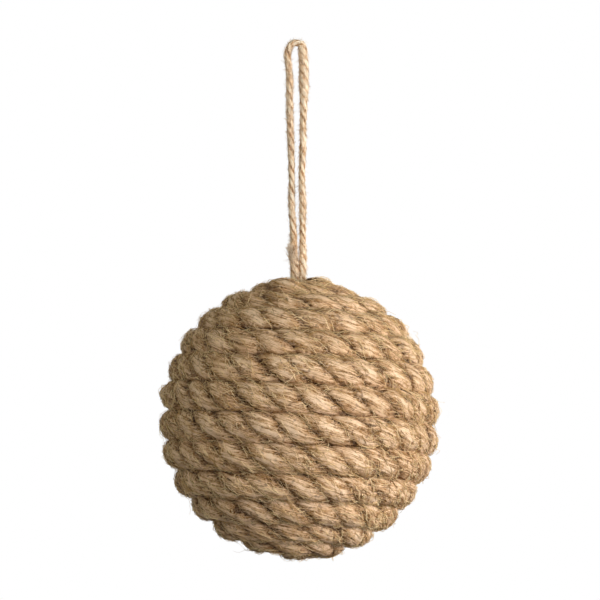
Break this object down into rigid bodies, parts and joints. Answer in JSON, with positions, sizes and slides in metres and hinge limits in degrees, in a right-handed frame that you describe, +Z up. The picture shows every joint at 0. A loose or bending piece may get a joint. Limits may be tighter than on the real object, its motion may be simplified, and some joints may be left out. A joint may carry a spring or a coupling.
{
  "type": "hanging rope ball",
  "caption": "Hanging ornament: a foam ball wound with laid jute rope in close level turns, hung by a loop of jute twine whose knotted tails are glued into the ball.",
  "frame": {"origin": "the point inside the top of the twine loop that bears on the hook, centred on the ball's upright axis", "axes": "+Z up along the ball's axis from the ball to the hook, +X to the viewer's right in the picture, +Y away from the viewer"},
  "size_m": [0.0989, 0.0989, 0.186],
  "materials": {
    "jute_twine": "plied natural jute twine, dry and slightly hairy, pale straw brown",
    "jute_rope": "three-strand laid natural jute rope, dry, hairy, mid to dark tan",
    "expanded_foam": "expanded polystyrene bead foam, matte off-white",
    "hot_melt_glue": "hot-melt glue, cloudy amber, soft shine"
  },
  "bodies": {
    "loop": {"hanging_loop": "jute_twine"},
    "neck": {"loop_neck": "jute_twine"},
    "ball": {"foam_core": "expanded_foam", "rope_winding": "jute_rope", "glue_bead": "hot_melt_glue", "loop_tails": "jute_twine", "glue_plug": "hot_melt_glue"}
  },
  "joints": [
    {"name": "ball_turn", "type": "hinge", "parent": "loop", "child": "neck", "pos_m": [0, 0, -0.0686], "axis": [0, 0, 1], "range_deg": [-180, 180]},
    {"name": "ball_swing", "type": "hinge", "parent": "neck", "child": "ball", "pos_m": [0, 0, -0.0836], "axis": [0, 1, 0], "range_deg": [-75, 75], "deforming": ["loop_neck"]}
  ]
}
